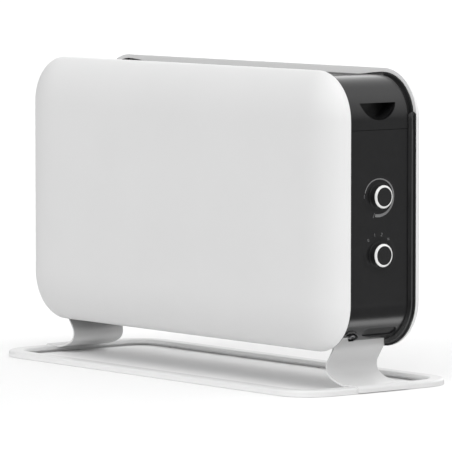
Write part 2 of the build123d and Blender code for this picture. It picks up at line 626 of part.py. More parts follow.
with BuildPart() as base_screws:
    for sx in (-1, 1):
        for y in (-RING_FIX, RING_FIX):
            add(pan_screw(spot(sx * (RING_HX - RING_W / 2), y, PAD_PROUD + 4, (1, 0, 0), (0, 0, -1)),
                          3.7, 2.4, 1.95, RING_H - 4 + 1.6))
base_screws.part.label = "base_screws"

# ---------------------------------------------------------------- base ring
with BuildPart() as base_ring:
    with BuildSketch(Plane.XY.offset(PAD_PROUD)):
        RectangleRounded(2 * RING_HX, 2 * RING_HY, RING_R)
        RectangleRounded(2 * (RING_HX - RING_W), 2 * (RING_HY - RING_W), RING_R - RING_W, mode=Mode.SUBTRACT)
    extrude(amount=RING_H)
    top_edges = base_ring.edges().group_by(Axis.Z)[-1]
    outer = top_edges.filter_by(lambda e: abs(e.center().X) > RING_HX - 20 or abs(e.center().Y) > RING_HY - 18)
    inner = [e for e in top_edges if e not in outer]
    fillet(outer, 3.5)
    fillet(inner, 4.8)
    # undercut along the inner side
    with BuildSketch(Plane.XY.offset(PAD_PROUD)):
        RectangleRounded(2 * (RING_HX - RING_W + UNDERCUT), 2 * (RING_HY - RING_W + UNDERCUT), RING_R - RING_W + UNDERCUT)
    extrude(amount=3.5, mode=Mode.SUBTRACT)
    with BuildSketch(Plane.XY.offset(PAD_PROUD)):
        with Locations(*[(sx * 290, sy * (RING_HY - RING_W / 2)) for sx in (-1, 1) for sy in (-1, 1)]):
            Circle(PAD_R + 0.05)
    extrude(amount=1.2, mode=Mode.SUBTRACT)
    # sunk holes for the ring screws
    with BuildSketch(Plane.XY.offset(PAD_PROUD)):
        with Locations(*[(sx * (RING_HX - RING_W / 2), y) for sx in (-1, 1) for y in (-RING_FIX, RING_FIX)]):
            Circle(4.2)
    extrude(amount=4, mode=Mode.SUBTRACT)
    with BuildSketch(Plane.XY.offset(PAD_PROUD)):
        with Locations(*[(sx * (RING_HX - RING_W / 2), y) for sx in (-1, 1) for y in (-RING_FIX, RING_FIX)]):
            Circle(2.1)
    extrude(amount=RING_H, mode=Mode.SUBTRACT)
base_ring.part.label = "base_ring"

with BuildPart() as floor_pads:
    with BuildSketch(Plane.XY):
        with Locations(*[(sx * 290, sy * (RING_HY - RING_W / 2)) for sx in (-1, 1) for sy in (-1, 1)]):
            Circle(PAD_R)
    extrude(amount=PAD_PROUD + 1.2)
floor_pads.part.label = "floor_pads"

# ---------------------------------------------------------------- air guides
SHIELD_Y = 50.4
with BuildPart() as heat_shield_front:
    with BuildSketch(Plane.XY.offset(INNER_LOW)) as guide:
        with Locations((0, -SHIELD_Y)):
            Rectangle(2 * (CX - 3), 0.8, align=(Align.CENTER, Align.MIN))
    extrude(amount=INNER_TOP - INNER_LOW)
    # end wings reach the frames below the handles
    with BuildSketch(Plane.XY.offset(Z_LO)):
        with Locations((0, -SHIELD_Y)):
            Rectangle(2 * (CX + WEB_IN), 0.8, align=(Align.CENTER, Align.MIN))
        with Locations((CX + WEB_IN, -SHIELD_Y), (-CX - WEB_IN + 0.8, -SHIELD_Y)):
            Rectangle(0.8, 14, align=(Align.MAX, Align.MIN))
    extrude(amount=2 * CZ - 30)
    # clearance holes round the cover screw heads
    with BuildSketch(Plane.YZ.offset(-CX - WEB_IN - 1)):
        with Locations((-42, BODY_Z - 112), (-42, BODY_Z + 92)):
            Circle(4.2)
    extrude(amount=3, mode=Mode.SUBTRACT)
    with BuildSketch(Plane.YZ.offset(CX + WEB_IN - 2)):
        with Locations((-42, BODY_Z - 112), (-42, BODY_Z + 92)):
            Circle(4.2)
    extrude(amount=3, mode=Mode.SUBTRACT)
    # pressed air holes in rows
    with BuildSketch(Plane.XZ.offset(SHIELD_Y + 1)):
        with Locations((0, BODY_Z + 150)):
            with GridLocations(40, 14, 13, 2):
                SlotOverall(26, 5)
    extrude(amount=-3, mode=Mode.SUBTRACT)
heat_shield_front.part.label = "heat_shield_front"
with BuildPart() as heat_shield_rear:
    add(mirror(heat_shield_front.part, about=Plane.XZ))
heat_shield_rear.part.label = "heat_shield_rear"

# ---------------------------------------------------------------- heater
ROD_Z, ROD_Y, ROD_R = 168.0, 19.0, 4.25
with BuildPart() as heating_element:
    with BuildSketch(Plane.YZ.offset(-266)):
        with Locations((ROD_Y, ROD_Z), (-ROD_Y, ROD_Z)):
            Circle(ROD_R)
    extrude(amount=532)
    with BuildSketch(Plane.YZ.offset(-282)):
        with Locations((ROD_Y, ROD_Z), (-ROD_Y, ROD_Z)):
            Circle(1.6)
    extrude(amount=564)
heating_element.part.label = "heating_element"

with BuildPart() as element_fins:
    with BuildSketch(Plane.YZ.offset(-0.3)) as fin:
        with Locations((0, ROD_Z)):
            RectangleRounded(84, 40, 3)
        with Locations((ROD_Y, ROD_Z), (-ROD_Y, ROD_Z)):
            Circle(ROD_R + 0.02, mode=Mode.SUBTRACT)
    one = extrude(amount=0.6, mode=Mode.PRIVATE)
    with Locations(*[(-240 + 12 * k, 0, 0) for k in range(41)]):
        add(one)
element_fins.part.label = "element_fins"

with BuildPart() as element_brackets:
    for sx in (-1, 1):
        with BuildSketch(Plane.YZ.offset(sx * 256 - 0.5)):
            with Locations((0, ROD_Z)):
                Rectangle(2 * (SHIELD_Y - 0.8), 64)
            with Locations((ROD_Y, ROD_Z), (-ROD_Y, ROD_Z)):
                Circle(7.5, mode=Mode.SUBTRACT)
            with Locations((0, ROD_Z + 22), (0, ROD_Z - 22)):
                SlotOverall(50, 8, mode=Mode.SUBTRACT)
        extrude(amount=1.0)
element_brackets.part.label = "element_brackets"

with BuildPart() as element_bushes:
    for sx in (-1, 1):
        for sy in (-1, 1):
            with BuildSketch(Plane.YZ.offset(sx * 256 - 5)):
                with Locations((sy * ROD_Y, ROD_Z)):
                    Circle(7.5)
                    Circle(ROD_R + 0.05, mode=Mode.SUBTRACT)
            extrude(amount=10)
            with BuildSketch(Plane.YZ.offset(sx * 256 + (0.5 if sx < 0 else -4.5))):
                with Locations((sy * ROD_Y, ROD_Z)):
                    Circle(9.5)
                    Circle(ROD_R + 0.05, mode=Mode.SUBTRACT)
            extrude(amount=4)
element_bushes.part.label = "element_bushes"

with BuildPart() as overheat_cutout:
    with BuildSketch(Plane.XZ.offset(SHIELD_Y - 0.8)):
        with Locations((70, 235)):
            Circle(8.5)
    extrude(amount=-3)
    with BuildSketch(Plane.XZ.offset(SHIELD_Y - 3.8)):
        with Locations((70, 235)):
            Circle(7.2)
    extrude(amount=-7)
    with BuildSketch(Plane.XZ.offset(SHIELD_Y - 10.8)):
        with Locations((65, 235), (75, 235)):
            Rectangle(0.8, 6.3)
    extrude(amount=-8)
    with BuildSketch(Plane.XZ.offset(SHIELD_Y - 0.8)):
        with Locations((70, 235)):
            Rectangle(30, 9)
    extrude(amount=-1)
overheat_cutout.part.label = "overheat_cutout"

# ---------------------------------------------------------------- fan
FAN_R = 41.0
with BuildPart() as fan_bracket:
    with BuildSketch(Plane.YZ.offset(-22)):
        with BuildLine():
            w = SHIELD_Y - 0.8
            Polyline((-w, 100), (-w, 84), (w, 84), (w, 100), (w - 1.2, 100), (w - 1.2, 85.2),
                     (-w + 1.2, 85.2), (-w + 1.2, 100), close=True)
        make_face()
    extrude(amount=44)
    with BuildSketch(Plane.XY.offset(83)):
        Circle(3)
        with Locations((0, 36), (0, -36)):
            SlotOverall(30, 12)
    extrude(amount=4, mode=Mode.SUBTRACT)
fan_bracket.part.label = "fan_bracket"

with BuildPart() as fan_motor:
    with BuildSketch(Plane.XY.offset(87.2)):
        RectangleRounded(40, 46, 2)
        Rectangle(15, 14, mode=Mode.SUBTRACT)
        with Locations((0, 15.5)):
            Rectangle(26, 5, mode=Mode.SUBTRACT)
    extrude(amount=14)
    with BuildSketch(Plane.XY.offset(85.2)):
        Rectangle(12, 40)
    extrude(amount=2)
    with BuildSketch(Plane.XY.offset(101.2)):
        Rectangle(12, 40)
        Circle(8)
    extrude(amount=2.0)
    with BuildSketch(Plane.XY.offset(103.2)):
        Circle(6)
    extrude(amount=3)
    with BuildSketch(Plane.XY.offset(85)):
        Circle(2.05)
    extrude(amount=30, mode=Mode.SUBTRACT)
fan_motor.part.label = "fan_motor"

with BuildPart() as motor_coil:
    with BuildSketch(Plane.YZ.offset(-11)):
        with Locations((15.5, 94.2)):
            RectangleRounded(5.0, 12, 1.5)
    extrude(amount=22)
motor_coil.part.label = "motor_coil"

with BuildPart() as fan_shaft:
    with BuildSketch(Plane.XY.offset(85.6)):
        Circle(2.0)
    extrude(amount=43)
    with BuildSketch(Plane.XY.offset(89)):
        Circle(6.4)
    extrude(amount=10.5)
fan_shaft.part.label = "fan_shaft"

with BuildPart() as fan_wheel:
    with BuildSketch(Plane.XY.offset(112)):
        Circle(13)
    extrude(amount=14)
    fillet(fan_wheel.edges().filter_by(GeomType.CIRCLE).group_by(Axis.Z)[-1], 3)
    for k in range(5):
        with BuildSketch(Plane(origin=(0, 0, 119), x_dir=(-sin(radians(72 * k)), cos(radians(72 * k)), 0),
                               z_dir=(cos(radians(72 * k)), sin(radians(72 * k)), 0)).offset(11)):
            Rectangle(22, 1.4, rotation=28)
        extrude(amount=FAN_R - 11.6)
    with BuildSketch(Plane.XY.offset(106)):
        Circle(FAN_R + 12)
        Circle(FAN_R, mode=Mode.SUBTRACT)
    extrude(amount=26, mode=Mode.SUBTRACT)
    with BuildSketch(Plane.XY.offset(111)):
        Circle(2.02)
    extrude(amount=20, mode=Mode.SUBTRACT)
fan_wheel.part.label = "fan_wheel"

# ---------------------------------------------------------------- supply side
with BuildPart() as terminal_block:
    with BuildSketch(Plane.YZ.offset(-CX - WEB_IN)):
        with Locations((-4, 176)):
            RectangleRounded(38, 22, 2)
    extrude(amount=9)
    with BuildSketch(Plane.YZ.offset(-CX - WEB_IN + 9)):
        with Locations((-16, 176), (-4, 176), (8, 176)):
            RectangleRounded(9, 22, 2)
    extrude(amount=6)
    with BuildSketch(Plane.YZ.offset(-CX - WEB_IN + 5)):
        with Locations((-16, 176), (-4, 176), (8, 176)):
            Circle(2.0)
    extrude(amount=12, mode=Mode.SUBTRACT)
terminal_block.part.label = "terminal_block"

with BuildPart() as terminal_screws:
    with BuildSketch(Plane.YZ.offset(-CX - WEB_IN + 5)):
        with Locations((-16, 176), (-4, 176), (8, 176)):
            Circle(1.95)
    extrude(amount=8)
    with BuildSketch(Plane.YZ.offset(-CX - WEB_IN + 13)):
        with Locations((-16, 176), (-4, 176), (8, 176)):
            Rectangle(3, 0.6)
    extrude(amount=-0.8, mode=Mode.SUBTRACT)
terminal_screws.part.label = "terminal_screws"

GLAND_Z = BODY_Z - 95
with BuildPart() as cord_gland:
    with BuildSketch(spot(-CX - SKIN_R, 30, GLAND_Z, (0, 1, 0), (0, 0, 1))):
        with BuildLine():
            # radius, distance out of the cover (negative X)
            Polyline((4.1, 4.6), (8.2, 4.6), (10.6, 2.2), (10.6, 0), (8.0, 0), (8.0, -2.6), (9.2, -2.6),
                     (9.2, -4.4), (7.4, -12.2), (4.1, -12.2), close=True)
        make_face()
    revolve(axis=Axis((-CX - SKIN_R, 30, GLAND_Z), (1, 0, 0)))
cord_gland.part.label = "cord_gland"

with BuildPart() as internal_wiring:
    block_x, low_x, top_x = -CX - WEB_IN + 15, CX + WEB_IN - 33, CX + WEB_IN - 35
    zb, zs, zt = 170, KNOB_LOW_Z, KNOB_TOP_Z
    routes = [
        # supply: block to selector, block to heating rod, block to selector
        [(block_x, -16, zb), (-321, -16, zb), (-288, 46, 104), (290, 46, 104), (303, 9, zs - 8), (low_x, 9, zs - 8)],
        [(block_x, -4, zb), (-317, -4, zb), (-284, 46, 108), (283, 46, 108), (300, -5, 150), (297, -19, ROD_Z), (282, -19, ROD_Z)],
        [(block_x, 8, zb), (-313, 8, zb), (-280, 46, 112), (276, 46, 112), (298, -9, zs + 8), (low_x, -9, zs + 8)],
        # selector to thermostat, thermostat to cut-out, cut-out to heating rod
        [(low_x, 9, zs + 8), (306, 9, zs + 8), (304, -10, zt), (top_x, -10, zt)],
        [(top_x, 10, zt), (302, 10, zt), (296, -20, 240), (75, -20, 235), (75, -31.6, 235)],
        [(65, -31.6, 235), (65, -14, 235), (290, -12, 228), (293, 19, ROD_Z), (282, 19, ROD_Z)],
        # bridge between the rods at the far end
        [(-282, 19, ROD_Z), (-292, 19, ROD_Z), (-292, -19, ROD_Z), (-282, -19, ROD_Z)],
    ]
    for route in routes:
        with BuildLine() as way:
            FilletPolyline(*route, radius=4)
        first, second = Vector(*route[0]), Vector(*route[1])
        with BuildSketch(Plane(origin=route[0], z_dir=second - first)):
            Circle(1.3)
        sweep(path=way.wire())
internal_wiring.part.label = "internal_wiring"

# ---------------------------------------------------------------- export
pieces = [front_panel, rear_panel, end_frame_right, end_frame_left, side_cover_right, side_cover_left,
          handle_right, handle_left, top_grille, bottom_grille, thermostat_knob, selector_knob,
          thermostat_knob_ring, selector_knob_ring, thermostat_shaft, selector_shaft, thermostat_body,
          selector_switch, control_screws, cover_screws, panel_screws, foot_right, foot_left, foot_screws, base_screws,
          base_ring, floor_pads, heat_shield_front, heat_shield_rear, heating_element, element_fins,
          element_brackets, element_bushes, overheat_cutout, fan_bracket, fan_motor, motor_coil, fan_shaft,
          fan_wheel, terminal_block, terminal_screws, cord_gland, internal_wiring]
for piece in pieces:
    export_step(piece.part, f"parts/{piece.part.label}.step")
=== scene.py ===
import json
import math

import bmesh
import bpy
from mathutils import Matrix, Vector


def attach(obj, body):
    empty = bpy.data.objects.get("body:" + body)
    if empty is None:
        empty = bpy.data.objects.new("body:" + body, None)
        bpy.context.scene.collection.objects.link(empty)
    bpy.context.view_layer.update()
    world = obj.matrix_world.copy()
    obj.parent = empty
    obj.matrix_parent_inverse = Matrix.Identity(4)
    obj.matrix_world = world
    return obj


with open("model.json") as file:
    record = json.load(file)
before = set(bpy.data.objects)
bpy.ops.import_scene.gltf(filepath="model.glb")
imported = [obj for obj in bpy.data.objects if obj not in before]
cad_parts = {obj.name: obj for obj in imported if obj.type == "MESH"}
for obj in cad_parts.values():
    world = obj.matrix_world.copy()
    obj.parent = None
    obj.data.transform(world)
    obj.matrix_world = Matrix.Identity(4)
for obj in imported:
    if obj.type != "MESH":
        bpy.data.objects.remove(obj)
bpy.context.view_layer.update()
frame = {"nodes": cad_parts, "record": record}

scene = bpy.context.scene
nodes = frame["nodes"]
MM = 0.001
BODY_Z = 0.2563          # height of the middle of the body above the floor
SKIN_X = 0.3605          # outer face of the right side cover
KNOB_Z = {"thermostat": BODY_Z + 0.0215, "selector": BODY_Z - 0.0618}


# ------------------------------------------------------------------ materials
class Mat:
    """Small helper round a node tree: one Principled shader, detail added by name."""

    def __init__(self, name, **sockets):
        self.mat = bpy.data.materials.new(name)
        self.mat.use_nodes = True
        self.nt = self.mat.node_tree
        self.nt.nodes.clear()
        self.out = self.nt.nodes.new("ShaderNodeOutputMaterial")
        self.bsdf = self.nt.nodes.new("ShaderNodeBsdfPrincipled")
        self.nt.links.new(self.bsdf.outputs[0], self.out.inputs[0])
        self.tc = self.nt.nodes.new("ShaderNodeTexCoord")
        self.normal = None
        for key, value in sockets.items():
            s = self.bsdf.inputs[key.replace("_", " ")]
            s.default_value = (*value, 1.0) if isinstance(value, tuple) and len(value) == 3 else value

    def node(self, kind, **inputs):
        n = self.nt.nodes.new(kind)
        for key, value in inputs.items():
            n.inputs[key].default_value = value
        return n

    def noise(self, scale, detail=2.0, rough=0.5, stretch=None):
        n = self.node("ShaderNodeTexNoise", Scale=scale, Detail=detail, Roughness=rough)
        if stretch:
            mp = self.nt.nodes.new("ShaderNodeMapping")
            mp.inputs["Scale"].default_value = stretch
            self.nt.links.new(self.tc.outputs["Object"], mp.inputs["Vector"])
            self.nt.links.new(mp.outputs[0], n.inputs["Vector"])
        else:
            self.nt.links.new(self.tc.outputs["Object"], n.inputs["Vector"])
        return n.outputs["Fac"]

    def cells(self, scale):
        n = self.node("ShaderNodeTexVoronoi", Scale=scale)
        self.nt.links.new(self.tc.outputs["Object"], n.inputs["Vector"])
        return n.outputs["Distance"]

    def ramp(self, fac, stops):
        n = self.nt.nodes.new("ShaderNodeValToRGB")
        while len(n.color_ramp.elements) < len(stops):
            n.color_ramp.elements.new(0.5)
        for e, (pos, col) in zip(n.color_ramp.elements, stops):
            e.position = pos
            e.color = (*col, 1.0) if isinstance(col, tuple) else (col, col, col, 1.0)
        self.nt.links.new(fac, n.inputs[0])
        return n.outputs[0]

    def colour(self, value):
        self.nt.links.new(value, self.bsdf.inputs["Base Color"])

    def rough(self, fac, low, high):
        n = self.nt.nodes.new("ShaderNodeMapRange")
        n.inputs["To Min"].default_value = low
        n.inputs["To Max"].default_value = high
        self.nt.links.new(fac, n.inputs["Value"])
        self.nt.links.new(n.outputs[0], self.bsdf.inputs["Roughness"])

    def bump(self, fac, strength, distance):
        n = self.nt.nodes.new("ShaderNodeBump")
        n.inputs["Strength"].default_value = strength
        n.inputs["Distance"].default_value = distance
        self.nt.links.new(fac, n.inputs["Height"])
        if self.normal:
            self.nt.links.new(self.normal, n.inputs["Normal"])
        self.normal = n.outputs[0]
        self.nt.links.new(self.normal, self.bsdf.inputs["Normal"])


def paint(name, base, rough=0.42, grain=900.0, strength=0.05):
    """Stoved powder paint: faint orange peel, a barely uneven tone and gloss."""
    m = Mat(name, Roughness=rough, Specular_IOR_Level=0.45)
    tone = m.noise(7.0, 3.0, 0.55)
    lo = tuple(c * 0.985 for c in base)
    m.colour(m.ramp(tone, ((0.35, lo), (0.65, base))))
    m.rough(m.noise(40.0, 3.0, 0.6), rough - 0.04, rough + 0.05)
    m.bump(m.noise(grain, 2.0, 0.5), strength, 0.0002)
    m.bump(m.noise(grain * 0.22, 1.0, 0.5), strength * 0.7, 0.0004)
    return m.mat


def plastic(name, base, rough=0.36, grain=2600.0, strength=0.10, level=0.35):
    """Moulded plastic with a fine spark-eroded grain."""
    m = Mat(name, Roughness=rough, Specular_IOR_Level=level)
    tone = m.noise(60.0, 4.0, 0.6)
    m.colour(m.ramp(tone, ((0.3, tuple(c * 0.90 for c in base)), (0.7, tuple(c * 1.08 for c in base)))))
    m.rough(m.noise(220.0, 3.0, 0.6), rough - 0.02, rough + 0.03)
    m.bump(m.cells(grain), strength, 0.0001)
    m.bump(m.noise(grain * 0.4, 2.0, 0.5), strength * 0.5, 0.0001)
    return m.mat


def rail_plastic_with_painted_highlight(name, base, highlight_colour):
    """Frame plastic with a painted highlight: a lighter base colour along the rib beside the cover stands in for the
    light it catches.
    """
    mat = plastic(name, base, rough=0.24, level=0.5, strength=0.06)
    nt = mat.node_tree

    def step(op, *args, clamp=False):
        n = nt.nodes.new("ShaderNodeMath")
        n.operation = op
        n.use_clamp = clamp
        for k, v in enumerate(args):
            if isinstance(v, float):
                n.inputs[k].default_value = v
            else:
                nt.links.new(v, n.inputs[k])
        return n.outputs[0]

    tc = nt.nodes.new("ShaderNodeTexCoord")
    xyz = nt.nodes.new("ShaderNodeSeparateXYZ")
    nt.links.new(tc.outputs["Object"], xyz.inputs[0])
    out_x = step("MAXIMUM", step("SUBTRACT", step("ABSOLUTE", xyz.outputs["X"]), 0.300), 0.0)
    out_z = step("MAXIMUM", step("SUBTRACT", step("ABSOLUTE", step("SUBTRACT", xyz.outputs["Z"], BODY_Z)), 0.130), 0.0)
    r = step("SQRT", step("ADD", step("POWER", out_x, 2.0), step("POWER", out_z, 2.0)))
    dr = step("SUBTRACT", r, 0.0649)
    dy = step("SUBTRACT", step("ABSOLUTE", xyz.outputs["Y"]), 0.0576)
    d = step("SQRT", step("ADD", step("MULTIPLY", dr, dr), step("MULTIPLY", dy, dy)))
    # painted highlight: the mask is 1 within about 0.9 mm of the rib line and fades out by 1.1 mm
    near = step("DIVIDE", step("SUBTRACT", 0.0011, d), 0.0002, clamp=True)
    mix = nt.nodes.new("ShaderNodeMix")
    mix.data_type = "RGBA"
    bsdf = next(n for n in nt.nodes if n.type == "BSDF_PRINCIPLED")
    old = bsdf.inputs["Base Color"].links[0].from_socket
    a, b = (next(i for i in mix.inputs if i.name == key and i.type == "RGBA") for key in "AB")
    b.default_value = (*highlight_colour, 1.0)
    nt.links.new(near, mix.inputs["Factor"])
    nt.links.new(old, a)
    nt.links.new(next(o for o in mix.outputs if o.type == "RGBA"), bsdf.inputs["Base Color"])
    return mat


def metal(name, base, rough=0.35, stretch=(1.0, 1.0, 1.0), spangle=0.0, scale=900.0):
    m = Mat(name, Roughness=rough, Metallic=1.0)
    tone = m.noise(scale, 4.0, 0.6, stretch)
    m.colour(m.ramp(tone, ((0.3, tuple(c * 0.80 for c in base)), (0.7, base))))
    m.rough(m.noise(scale * 0.6, 3.0, 0.6, stretch), rough - 0.08, rough + 0.10)
    m.bump(tone, 0.08, 0.0001)
    if spangle:
        m.bump(m.cells(spangle), 0.10, 0.0002)
    return m.mat


def rubber(name, base, rough=0.75):
    m = Mat(name, Roughness=rough, Specular_IOR_Level=0.25)
    m.colour(m.ramp(m.noise(300.0, 4.0, 0.7), ((0.3, tuple(c * 0.8 for c in base)), (0.7, tuple(c * 1.2 for c in base)))))
    m.bump(m.noise(1800.0, 3.0, 0.6), 0.15, 0.0001)
    return m.mat


def print_ink(name, base, rough=0.5):
    m = Mat(name, Roughness=rough, Specular_IOR_Level=0.3)
    m.colour(m.ramp(m.noise(1500.0, 3.0, 0.6), ((0.3, tuple(c * 0.92 for c in base)), (0.7, tuple(c * 1.04 for c in base)))))
    m.bump(m.noise(4000.0, 2.0, 0.5), 0.06, 0.0001)
    return m.mat


WHITE = (0.80, 0.80, 0.80)
mats = {
    "panel_paint": paint("panel_paint", WHITE),
    "foot_paint": paint("foot_paint", (0.73, 0.73, 0.73)),
    "base_plastic": paint("base_plastic", (0.74, 0.74, 0.74)),
    # the second colour is the painted highlight along the frame's rib
    "frame_plastic": rail_plastic_with_painted_highlight("frame_plastic", (0.0150, 0.0150, 0.0155), (0.070, 0.070, 0.071)),
    "cover_plastic": plastic("cover_plastic", (0.0148, 0.0148, 0.0153), rough=0.19, level=0.5, strength=0.05),
    "grille_plastic": plastic("grille_plastic", (0.0140, 0.0140, 0.0145), rough=0.40, level=0.5),
    "knob_plastic": plastic("knob_plastic", (0.0148, 0.0148, 0.0153), rough=0.22, level=0.5, strength=0.05),
    "ring_plastic": plastic("ring_plastic", (0.88, 0.88, 0.87), rough=0.25, grain=5000.0, strength=0.03, level=0.5),
    "switch_plastic": plastic("switch_plastic", (0.52, 0.50, 0.42), rough=0.5, level=0.4),
    "zinc_steel": metal("zinc_steel", (0.60, 0.61, 0.60), rough=0.34),
    "galvanised_sheet": metal("galvanised_sheet", (0.56, 0.58, 0.59), rough=0.42, spangle=90.0, scale=120.0),
    "heater_sheath": metal("heater_sheath", (0.30, 0.27, 0.24), rough=0.5, stretch=(0.2, 1.0, 1.0)),
    "fin_aluminium": metal("fin_aluminium", (0.74, 0.75, 0.76), rough=0.36, stretch=(1.0, 0.05, 1.0)),
    "bush_ceramic": plastic("bush_ceramic", (0.80, 0.77, 0.70), rough=0.6, grain=1200.0, level=0.4),
    "motor_laminations": metal("motor_laminations", (0.20, 0.20, 0.21), rough=0.5, stretch=(0.05, 0.05, 3.0)),
    "coil_copper": metal("coil_copper", (0.55, 0.22, 0.08), rough=0.4, stretch=(0.05, 1.0, 4.0)),
    "fan_plastic": plastic("fan_plastic", (0.05, 0.05, 0.052), rough=0.5),
    "terminal_plastic": plastic("terminal_plastic", (0.74, 0.72, 0.66), rough=0.5, level=0.4),
    "terminal_brass": metal("terminal_brass", (0.70, 0.50, 0.20), rough=0.3),
    "gland_plastic": plastic("gland_plastic", (0.012, 0.012, 0.012), rough=0.45),
    "wire_sleeve": rubber("wire_sleeve", (0.06, 0.06, 0.065), rough=0.6),
    "pad_rubber": rubber("pad_rubber", (0.02, 0.02, 0.02)),
}
slot_of = {s["node"]: s["material_slot"] for s in frame["record"]["subparts"]}
for name, obj in nodes.items():
    obj.data.materials.clear()
    obj.data.materials.append(mats[slot_of[name]])
# the screws under the feet are blackened
nodes["foot_screws"].data.materials[0] = metal("foot_screw_steel", (0.20, 0.20, 0.205), rough=0.30)


# ------------------------------------------------------------------ fine pieces
def finish_mesh(bm, name, mat, body="heater_body", smooth=40.0):
    bmesh.ops.remove_doubles(bm, verts=bm.verts, dist=1e-7)
    bmesh.ops.recalc_face_normals(bm, faces=bm.faces)
    me = bpy.data.meshes.new(name)
    bm.to_mesh(me)
    bm.free()
    for p in me.polygons:
        p.use_smooth = True
    me.set_sharp_from_angle(angle=math.radians(smooth))
    obj = bpy.data.objects.new(name, me)
    scene.collection.objects.link(obj)
    me.materials.append(mat)
    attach(obj, body)
    return obj


def dish(r):
    """X of the right cover's face at radius r from a knob axis, in metres."""
    r = r / MM
    if r >= 29.6:
        return SKIN_X
    if r <= 26.6:
        return SKIN_X - 0.15 * MM
    return SKIN_X - 0.15 * MM * (29.6 - r) / 3.0


def ink_strip(bm, knob, outer, inner, thick=0.00014, sink=0.0003):
    """Closed thin print between two edges given as (clockwise degrees, radius in mm)."""
    rows = []
    for (a, ro), (_, ri) in zip(outer, inner):
        ring = []
        steps = 3
        for k in range(steps + 1):
            r = (ri + (ro - ri) * k / steps) * MM
            y, z = r * math.sin(math.radians(a)), r * math.cos(math.radians(a))
            ring.append((y, z, dish(r)))
        rows.append(ring)
    top = [[bm.verts.new((x + thick, y, KNOB_Z[knob] + z)) for y, z, x in ring] for ring in rows]
    low = [[bm.verts.new((x - sink, y, KNOB_Z[knob] + z)) for y, z, x in ring] for ring in rows]
    n, m = len(rows), len(rows[0])
    for i in range(n - 1):
        for j in range(m - 1):
            bm.faces.new((top[i][j], top[i + 1][j], top[i + 1][j + 1], top[i][j + 1]))
            bm.faces.new((low[i][j], low[i][j + 1], low[i + 1][j + 1], low[i + 1][j]))
    for i in range(n - 1):
        for j in (0, m - 1):
            bm.faces.new((top[i][j], top[i + 1][j], low[i + 1][j], low[i][j]))
    for j in range(m - 1):
        for i in (0, n - 1):
            bm.faces.new((top[i][j], top[i][j + 1], low[i][j + 1], low[i][j]))


def curve_at(points, t):
    """Smooth value through (position, value) pairs."""
    for (a, u), (b, v) in zip(points, points[1:]):
        if t <= b:
            s = (t - a) / (b - a)
            s = s * s * (3 - 2 * s)
            return u + (v - u) * s
    return points[-1][1]


# temperature scale: a wedge that widens clockwise, a dash before it and a mark after it
MIDDLE = ((282, 27.0), (363, 25.0), (438, 26.4), (491, 26.6), (520, 26.9), (543, 27.3), (556, 27.8))
WIDTH = ((282, 1.3), (363, 1.8), (438, 2.2), (491, 2.9), (520, 3.7), (543, 4.3), (556, 4.3))
bm = bmesh.new()
angles = [282 + (556 - 282) * k / 96 for k in range(97)]
ink_strip(bm, "thermostat",
          [(a, curve_at(MIDDLE, a) + curve_at(WIDTH, a) / 2) for a in angles],
          [(a, curve_at(MIDDLE, a) - curve_at(WIDTH, a) / 2) for a in angles])
finish_mesh(bm, "thermostat_scale", print_ink("scale_ink", (0.20, 0.20, 0.202)))
bm = bmesh.new()
angles = [266 + 11.5 * k / 8 for k in range(9)]
ink_strip(bm, "thermostat", [(a, 28.75) for a in angles], [(a, 27.55) for a in angles])
angles = [200.4, 202.6]
ink_strip(bm, "thermostat", [(199.6, 32.2), (202.4, 32.2)], [(201.4, 24.8), (204.6, 24.8)])
finish_mesh(bm, "thermostat_scale_ends", print_ink("scale_ends_ink", (0.10, 0.10, 0.102)))


def outline_ink(bm, knob, cy, cz, turn, loops, thick=0.00014, sink=0.0003):
    """Closed thin print of flat polygons (mm, before turning) centred at cy, cz."""
    c, s = math.cos(math.radians(turn)), math.sin(math.radians(turn))

    def place(u, v, lift):
        y, z = cy + u * c - v * s, cz + u * s + v * c
        x = dish(math.hypot(y, z) * MM)
        return bm.verts.new((x + lift, y * MM, KNOB_Z[knob] + z * MM))

    for quad in loops:
        up = [place(u, v, thick) for u, v in quad]
        down = [place(u, v, -sink) for u, v in quad]
        bm.faces.new(up)
        bm.faces.new(list(reversed(down)))
        for i in range(len(quad)):
            j = (i + 1) % len(quad)
            bm.faces.new((up[i], down[i], down[j], up[j]))


def stroke(points, w, close=False):
    """Quads of an even pen line along points."""
    pts = [Vector(p) for p in points]
    n = len(pts)
    sides = []
    for i, p in enumerate(pts):
        a = pts[(i - 1) % n] if close or i > 0 else p
        b = pts[(i + 1) % n] if close or i < n - 1 else p
        d1 = (p - a).normalized() if (p - a).length > 1e-9 else (b - p).normalized()
        d2 = (b - p).normalized() if (b - p).length > 1e-9 else d1
        d = (d1 + d2).normalized()
        nrm = Vector((-d.y, d.x)) * (w / 2 / max(0.4, d.dot(d1)))
        sides.append((p + nrm, p - nrm))
    quads = []
    for i in range(n if close else n - 1):
        a, b = sides[i], sides[(i + 1) % n]
        quads.append([tuple(a[0]), tuple(a[1]), tuple(b[1]), tuple(b[0])])
    return quads


def oval(rx, rz, n=20, a0=0.0, a1=360.0, cx=0.0, cy=0.0):
    full = abs(a1 - a0) >= 360
    count = n if full else n + 1
    return [(cx + rx * math.cos(math.radians(a0 + (a1 - a0) * k / n)),
             cy + rz * math.sin(math.radians(a0 + (a1 - a0) * k / n))) for k in range(count)]


